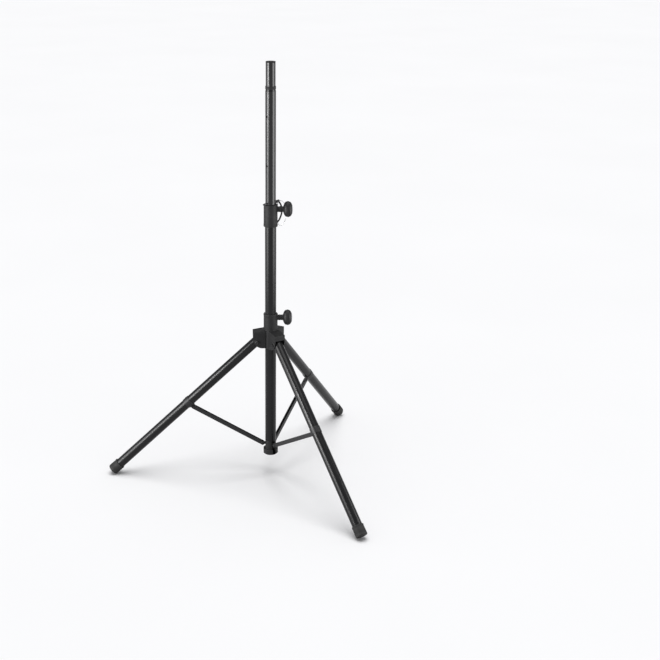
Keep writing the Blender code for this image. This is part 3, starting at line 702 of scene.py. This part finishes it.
def make_leg(leg):
    place = LEG_FRAMES[leg]
    body = leg + "_leg"
    mesh = tube(LEG_RADIUS, LEG_BORE, -LEG_LENGTH + 0.008, 0.008, 0.0004)
    drill = along_y(rod(0.0044, -0.03, 0.03, 0.0, 32))
    piece(leg + "_tube", moved(cut(mesh, drill), place), body, "tube_paint", [leg + "_leg_tube"])

    plug = lathe(fillet([
        (0.0, 0.0068), (0.0150, 0.0068), (0.0158, 0.0080), (0.01645, 0.0080), (0.01645, -0.028),
        (0.0, -0.028),
    ], 0.0005, False))
    drill = along_y(rod(BOLT_HOLE_RADIUS, -0.03, 0.03, 0.0, 32))
    piece(leg + "_plug", moved(cut(plug, drill), place), body, "black_plastic", [leg + "_leg_plug"])

    end = -LEG_LENGTH
    floor = end + 0.0077
    bore = LEG_RADIUS + 0.0003
    grooves = []
    for index in range(3):
        height = end + 0.0185 - index * 0.0030
        grooves += [
            (FOOT_RADIUS, height + 0.0007), (FOOT_RADIUS - 0.0007, height), (FOOT_RADIUS, height - 0.0007),
        ]
    outline = [
        (0.0, floor), (bore, floor), (bore, end + 0.040), (FOOT_RADIUS - 0.0010, end + 0.040),
        (FOOT_RADIUS + 0.0003, end + 0.0385), (FOOT_RADIUS + 0.0003, end + 0.0345),
        (FOOT_RADIUS - 0.0005, end + 0.0335), (FOOT_RADIUS, end + 0.022), *grooves,
        *arc((FOOT_RADIUS - 0.003, end + 0.003), 0.003, 0.0, -90.0, 8), (0.0, end),
    ]
    foot = lathe(fillet(outline, 0.0004, False, 3))
    piece(leg + "_foot", moved(foot, place), body, "black_rubber", [leg + "_foot_cap"])
    make_clamp(leg, place, body)


def make_clamp(leg, place, body):
    """A steel band with its ends pinched together to a lug, and the brace's rivet."""
    half = 0.012
    height = -CLAMP_DISTANCE
    band = tube(CLAMP_RADIUS, LEG_RADIUS + 0.0002, height - half, height + half, 0.0006)
    tip = arc((-LUG_OFFSET, height), 0.007, 90.0, 270.0)
    lug = bevelled(plate([(-0.0186, height - 0.0105), (-0.0186, height + 0.0105), *tip], 0.003), 0.0008)
    neck = bevelled(plate([
        (-0.0184, height - 0.0118), (-0.0184, height + 0.0118),
        (-0.0210, height + 0.0112), (-0.0210, height - 0.0112),
    ], 0.0040), 0.0010)
    stud = moved(along_x(domed_head(0.0038, 0.0018)), shift(CLAMP_RADIUS - 0.0003, 0.0, height + 0.004))
    mesh = together(band, lug, neck, stud)
    piece(leg + "_clamp", moved(mesh, place), body, "black_steel", [leg + "_leg_clamp"])
    flange = BRACE_HALF_WIDTH + 0.0003
    rivet = together(
        rod(0.0029, -flange - 0.001, flange + 0.001),
        *[moved(domed_head(), turn("X", side) @ shift(0.0, 0.0, flange)) for side in (0.0, math.pi)],
    )
    rivet = moved(along_y(rivet), shift(-LUG_OFFSET, 0.0, height))
    piece(leg + "_rivet", moved(rivet, place), body, "black_steel", [leg + "_brace_rivet"])


def domed_head(radius=0.005, height=0.0022):
    """A rivet's domed head, standing on Z = 0."""
    dome = [
        (radius * math.sin(step * math.pi / 16.0), height * (0.25 + 0.75 * math.cos(step * math.pi / 16.0)))
        for step in range(9)
    ]
    return lathe([(0.0, height)] + dome[1:] + [(radius, 0.0), (0.0, 0.0)], 48)


def make_brace(leg):
    """A U-channel with rounded bends and ends, whose web stops short of both joints."""
    place = LEG_FRAMES[leg] @ Matrix.Translation(BRACE_JOINT) @ turn("Y", BRACE_TURN)
    half = BRACE_HALF_DEPTH
    wide = BRACE_HALF_WIDTH
    wall = 0.0012
    section = [
        (-half, wide), (half, wide), (half, -wide), (-half, -wide),
        (-half, -wide + wall), (half - wall, -wide + wall), (half - wall, wide - wall), (-half, wide - wall),
    ]
    rounding = [0.0003, 0.0020, 0.0020, 0.0003, 0.0003, 0.0009, 0.0009, 0.0003]
    corners = []
    for index, point in enumerate(section):
        trio = [section[index - 1], point, section[(index + 1) % len(section)]]
        corners += fillet(trio, rounding[index], False, 5)[1:-1]
    bm = bmesh.new()
    top = [bm.verts.new((x, y, 0.012)) for x, y in corners]
    low = [bm.verts.new((x, y, -BRACE_LENGTH - 0.012)) for x, y in corners]
    bm.faces.new(top)
    bm.faces.new(list(reversed(low)))
    for index in range(len(corners)):
        after = (index + 1) % len(corners)
        bm.faces.new((top[index], low[index], low[after], top[after]))
    bar = mesh_from(bm)
    ends = arc((0.0, 0.0), half, 180.0, 0.0) + arc((0.0, -BRACE_LENGTH), half, 0.0, -180.0)
    bar = boolean(bar, [plate(ends, 0.02)], "INTERSECT")
    inner = wide - wall
    bar = cut(
        bar,
        box((0.0, -inner, -0.028), (half + 0.002, inner, 0.02)),
        box((0.0, -inner, -BRACE_LENGTH - 0.02), (half + 0.002, inner, -BRACE_LENGTH + 0.004)),
        along_y(rod(0.0032, -0.02, 0.02, 0.0, 32)),
        moved(along_y(rod(0.0044, -0.02, 0.02, 0.0, 32)), shift(0.0, 0.0, -BRACE_LENGTH)),
    )
    piece(leg + "_brace_channel", moved(bar, place), leg + "_brace", "black_steel", [leg + "_brace"])
    heads = together(*[
        moved(domed_head(0.0056, 0.0022), turn("X", side) @ shift(0.0, 0.0, wide + 0.0001))
        for side in (0.0, math.pi)
    ])
    heads = moved(along_y(heads), shift(0.0, 0.0, -BRACE_LENGTH))
    piece(leg + "_brace_end", moved(heads, place), leg + "_brace", "black_steel")


# ---------------------------------------------------------------- bottom bracket

def make_bracket():
    bottom, top = span("bottom_bracket")
    tube_end = span("main_tube")[0]
    outline = [
        (0.0, top), (0.0181, top), (0.01915, top - 0.001), (0.01915, tube_end - 0.0003),
        (TUBE_RADIUS, tube_end - 0.0003), (TUBE_RADIUS, 0.1025), (BRACKET_RADIUS - 0.0012, 0.1020),
        (BRACKET_RADIUS, 0.1005), (BRACKET_RADIUS, bottom + 0.004), (BRACKET_RADIUS - 0.004, bottom + 0.0005),
        (0.012, bottom), (0.0, bottom),
    ]
    casting = moved(lathe(fillet(outline, 0.0006, False)), COLUMN)
    slots = []
    lugs = []
    drills = []
    for leg in LEGS:
        place = COLUMN @ turn("Z", LEG_ANGLES[leg])
        slots.append(moved(box((0.0095, -0.0063, bottom + 0.0025), (0.05, 0.0063, tube_end - 0.0002)), place))
        tip = arc((BRACE_PIN_RADIUS, BRACE_PIN.z), 0.005, -90.0, 90.0)
        outline = [(0.0075, BRACE_PIN.z - 0.005), *tip, (0.0075, BRACE_PIN.z + 0.005)]
        lugs.append(moved(plate(outline, 0.003), place))
        drill = along_y(rod(0.0032, -0.01, 0.01, 0.0, 32))
        drills.append(moved(drill, place @ shift(BRACE_PIN_RADIUS, 0.0, BRACE_PIN.z)))
    casting = cut(joined(cut(casting, *slots), *lugs), *drills)
    casting = moulded(casting, 0.0006, 4)
    piece("column_foot", casting, "column", "black_plastic", ["bottom_bracket"], sharp=60.0)


# ---------------------------------------------------------------- safety pin and tether

def make_pin():
    place = COLUMN @ turn("Z", PIN_ANGLE) @ shift(0.0, 0.0, PIN_HEIGHT)
    shank = lathe(fillet([
        (0.0, 0.030), (0.003, 0.030), (0.003, -0.0335), (0.0024, -0.0345), (0.003, -0.0355), (0.003, -0.037),
        (0.0013, -0.040), (0.0, -0.040),
    ], 0.0004, False), 40)
    head = lathe(fillet([
        (0.0, 0.044), (0.0045, 0.044), (0.0055, 0.043), (0.0055, 0.0385), (0.0046, 0.0380), (0.0046, 0.0365),
        (0.0055, 0.0360), (0.0055, 0.0272), (0.0048, 0.0262), (0.0, 0.0262),
    ], 0.0005, False), 48)
    pin = along_x(together(shank, head))
    piece("locking_pin", moved(pin, place), "safety_pin", "dark_steel", ["safety_pin"])

    bail = smooth_route([
        (0.0443, 0.0, 0.0), (0.056, 0.0, -0.002), (0.070, 0.0, -0.012), (0.080, 0.0, -0.034),
        (0.083, 0.0, -0.062), (0.075, 0.0, -0.083), (0.060, 0.0, -0.094), (0.045, 0.0, -0.091),
        (0.037, 0.0, -0.076), (0.035, 0.0, -0.050), (0.036, 0.0, -0.025), (0.038, 0.0, -0.0058),
    ], 12)
    piece("wire_bail", moved(wire(bail, 0.0011), place), "safety_pin", "bright_steel", ["pin_bail"])


def around(degrees, radius, height):
    return COLUMN @ turn("Z", math.radians(degrees)) @ Vector((radius, 0.0, height))


def make_tether():
    """The strap: an eyelet on the collar's rivet, and the cord that runs from it up to the pin."""
    low = span("upper_collar")[0]
    rivet_place = COLUMN @ turn("Z", math.radians(80.0)) @ shift(0.0, 0.0, low + 0.007)
    skin = COLLAR_RADIUS + 0.0008
    eyelet = along_x(tube(0.0085, 0.0046, skin, skin + 0.0024, 0.0006, 64))
    for vert in eyelet.vertices:
        vert.co.x -= skin - math.sqrt(skin ** 2 - vert.co.y ** 2)
    beside_pin = COLUMN @ turn("Z", PIN_ANGLE) @ Vector((0.035, -0.0088, PIN_HEIGHT - 0.001))
    route = smooth_route([
        around(66.0, 0.0275, low + 0.007), around(58.0, 0.0292, low + 0.005),
        around(35.0, 0.0292, low + 0.004), around(10.0, 0.0295, low + 0.008),
        around(-6.0, 0.0355, low + 0.022), around(-9.0, 0.0430, low + 0.044),
        around(-9.0, 0.0430, low + 0.063), around(-8.0, 0.0395, low + 0.077), beside_pin,
    ], 10)
    tether = piece("tether_cord", wire(route, 0.0030), None, "tether_rubber", ["tether"])
    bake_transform(tether)
    ring = piece("tether_eyelet", moved(eyelet, rivet_place), "column", "tether_rubber")

    head = moved(domed_head(0.0042, 0.0020), turn("Y", math.pi / 2.0))
    shank = along_x(rod(0.002, 0.0213, 0.0262, 0.0002))
    rivet = together(moved(head, shift(COLLAR_RADIUS + 0.0009, 0.0, 0.0)), shank)
    piece("collar_rivet", moved(rivet, rivet_place), "column", "bright_steel", ["tether_rivet"])


# ---------------------------------------------------------------- what stays of the frame

def finish_frame_nodes():
    """The frame's own pieces that stay visible, such as bushes, screws and pads, get their finish."""
    slots = {row["node"]: row["material_slot"] for row in RECORD["subparts"]}
    for node, obj in frame["nodes"].items():
        STAND.objects.link(obj)
        obj.data.materials.clear()
        obj.data.materials.append(MATERIALS[slots[node]])


# ---------------------------------------------------------------- studio

def make_floor():
    nodes = Nodes("studio floor")
    clouds = nodes.spread(nodes.noise(0.7, 3.0), 0.0, 1.0)
    nodes.link(nodes.blend(clouds, grey(0.90, 0.01), grey(0.915, 0.01)), nodes.shader.inputs["Base Color"])
    nodes.link(nodes.spread(nodes.noise(3.0), 0.85, 0.95), nodes.shader.inputs["Roughness"])
    nodes.shader.inputs["Specular IOR Level"].default_value = 0.1
    bm = bmesh.new()
    bmesh.ops.create_grid(bm, x_segments=2, y_segments=2, size=60.0)
    floor = obj_from(mesh_from(bm), "floor")
    floor.data.materials.append(nodes.material)
    floor.location.z = -0.0002


def softbox(name, place, target, size, power, upward=(0.0, 0.0, 1.0)):
    """A softbox that is flagged off the floor, so that it only draws its reflection along the tubes."""
    light = bpy.data.lights.new(name, "AREA")
    light.shape = "RECTANGLE"
    light.size = size[0]
    light.size_y = size[1]
    light.energy = power
    obj = bpy.data.objects.new(name, light)
    obj.location = place
    out = (Vector(place) - Vector(target)).normalized()
    across = Vector(upward).cross(out).normalized()
    obj.rotation_euler = Matrix((across, out.cross(across), out)).transposed().to_euler()
    obj.light_linking.receiver_collection = STAND
    bpy.context.scene.collection.objects.link(obj)


CAMERA_AZIMUTH = math.radians(-31.32)
CAMERA_PITCH = math.radians(17.03)


def make_studio():
    """A pale studio, whose world is brighter for the camera than for the light it gives."""
    world = bpy.data.worlds.new("studio")
    world.use_nodes = True
    background = world.node_tree.nodes["Background"]
    background.inputs["Color"].default_value = (0.985, 0.99, 1.0, 1.0)
    rays = world.node_tree.nodes.new("ShaderNodeLightPath")
    strength = world.node_tree.nodes.new("ShaderNodeMapRange")
    strength.inputs["To Min"].default_value = 0.42
    strength.inputs["To Max"].default_value = 0.96
    world.node_tree.links.new(rays.outputs["Is Camera Ray"], strength.inputs["Value"])
    world.node_tree.links.new(strength.outputs["Result"], background.inputs["Strength"])
    bpy.context.scene.world = world
    sky = bpy.data.lights.new("overhead", "SUN")
    sky.angle = math.radians(50.0)
    sky.energy = 2.07
    bpy.context.scene.collection.objects.link(bpy.data.objects.new("overhead", sky))
    back = Vector((math.sin(CAMERA_AZIMUTH), -math.cos(CAMERA_AZIMUTH), 0.0))
    right = Vector((math.cos(CAMERA_AZIMUTH), math.sin(CAMERA_AZIMUTH), 0.0))
    middle = Vector((SEAT.x, SEAT.y, 1.0))
    for name, side, power in (("left softbox", -1.0, 120.0), ("right softbox", 1.0, 130.0)):
        direction = back * math.cos(math.radians(68.0)) + right * side * math.sin(math.radians(68.0))
        softbox(name, middle + direction * 3.0, middle, (2.2, 2.8), power)
    for leg, power in (("left", 50.0), ("front", 28.0)):
        shaft = LEG_FRAMES[leg].to_3x3() @ Vector((0.0, 0.0, 1.0))
        lit = PIVOTS[leg] - shaft * 0.35
        place = lit + Vector((-0.934, -0.04, 0.355)) * 3.0
        softbox(leg + " strip light", place, lit, (0.16, 1.8), power, shaft)
    bpy.context.scene.view_settings.view_transform = "Standard"


def make_camera():
    camera = bpy.data.cameras.new("camera")
    camera.sensor_width = 36.0
    camera.lens = 36.0 * 1200.0 / 660.0
    camera.shift_x = 0.09
    camera.shift_y = -0.10
    camera.clip_end = 200.0
    obj = bpy.data.objects.new("camera", camera)
    obj.location = (-2.1828, -3.4386, 2.1233)
    obj.rotation_euler = (math.pi / 2.0 - CAMERA_PITCH, 0.0, CAMERA_AZIMUTH)
    bpy.context.scene.collection.objects.link(obj)
    bpy.context.scene.camera = obj


make_mast()
make_column()
make_knob("upper_knob", "upper_knob")
make_knob("lower_knob", "lower_knob")
make_hub()
for leg_name in LEGS:
    make_leg(leg_name)
    make_brace(leg_name)
make_bracket()
make_pin()
make_tether()
finish_frame_nodes()
make_floor()
make_studio()
make_camera()
